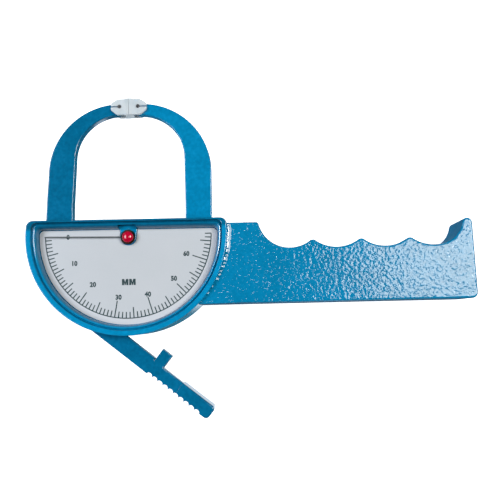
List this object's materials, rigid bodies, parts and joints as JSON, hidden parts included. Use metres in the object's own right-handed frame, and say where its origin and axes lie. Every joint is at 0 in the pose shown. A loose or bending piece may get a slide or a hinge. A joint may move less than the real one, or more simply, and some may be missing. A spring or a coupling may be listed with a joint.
{
  "type": "skinfold caliper",
  "caption": "Hand-held skinfold caliper: half-moon dial housing with hooked grip, fixed arched jaw, and a sprung moving jaw with thumb lever that turns the needle through gears.",
  "frame": {"origin": "behind the middle of the graduated arc, in the flat back face on which the caliper lies", "axes": "+X along the grip, +Y up the jaws, +Z out of the dial"},
  "size_m": [0.2338, 0.1713, 0.028],
  "materials": {
    "blue_enamel": "glossy hammered enamel on cast aluminium",
    "dial_white": "satin enamel with a printed scale",
    "steel": "turned steel",
    "spring_steel": "blued spring steel",
    "brass": "cut brass",
    "needle_dark": "satin dark grey",
    "cap_red": "glossy red plastic",
    "washer_bronze": "dark bronze",
    "nylon": "milky white nylon"
  },
  "bodies": {
    "frame_body": {"frame": "blue_enamel", "back_cover": "blue_enamel", "cover_screws": "steel", "dial_plate": "dial_white", "fixed_jaw": "blue_enamel", "fixed_jaw_screws": "steel", "pivot_pin": "steel", "pivot_washer": "steel", "pivot_clip": "spring_steel", "idler_pin": "steel", "front_bearing": "brass", "rear_bearing": "brass", "hairspring": "spring_steel", "hairspring_stud": "brass", "main_spring": "spring_steel", "spring_post": "steel", "right_tip_pin": "steel"},
    "jaw_body": {"moving_jaw": "blue_enamel", "pivot_bush": "brass", "sector_gear": "brass", "sector_rivets": "steel", "jaw_spring_peg": "steel", "left_tip_pin": "steel"},
    "idler_body": {"idler_gear": "brass"},
    "needle_body": {"needle_pinion": "steel", "needle": "needle_dark", "needle_washer": "washer_bronze", "needle_cap": "cap_red"},
    "left_shoe": {"left_tip": "nylon"},
    "right_shoe": {"right_tip": "nylon"}
  },
  "joints": [
    {"name": "jaw_pivot", "type": "hinge", "parent": "frame_body", "child": "jaw_body", "pos_m": [0.0003, -0.042, 0.0171], "axis": [0, 0, 1], "range_deg": [0, 35], "stiffness_Nm_per_rad": 0.35, "springref_deg": -108.86, "deforming": ["main_spring"]},
    {"name": "idler_spin", "type": "hinge", "parent": "frame_body", "child": "idler_body", "pos_m": [0.0003, -0.0125, 0.0131], "axis": [0, 0, 1], "range_deg": [-124, 0]},
    {"name": "needle_spin", "type": "hinge", "parent": "frame_body", "child": "needle_body", "pos_m": [0.0003, -0.0015, 0.0131], "axis": [0, 0, 1], "range_deg": [0, 179]},
    {"name": "left_shoe_swivel", "type": "hinge", "parent": "jaw_body", "child": "left_shoe", "pos_m": [-0.005, 0.0705, 0.0171], "axis": [0, 0, 1], "range_deg": [-17.5, 0]},
    {"name": "right_shoe_swivel", "type": "hinge", "parent": "frame_body", "child": "right_shoe", "pos_m": [0.005, 0.0705, 0.0171], "axis": [0, 0, 1], "range_deg": [0, 17.5]}
  ],
  "couplings": [
    {"joint": "idler_spin", "follows": "jaw_pivot", "ratio": -3.5385},
    {"joint": "needle_spin", "follows": "jaw_pivot", "ratio": 5.1111},
    {"joint": "left_shoe_swivel", "follows": "jaw_pivot", "ratio": -0.5},
    {"joint": "right_shoe_swivel", "follows": "jaw_pivot", "ratio": 0.5}
  ]
}
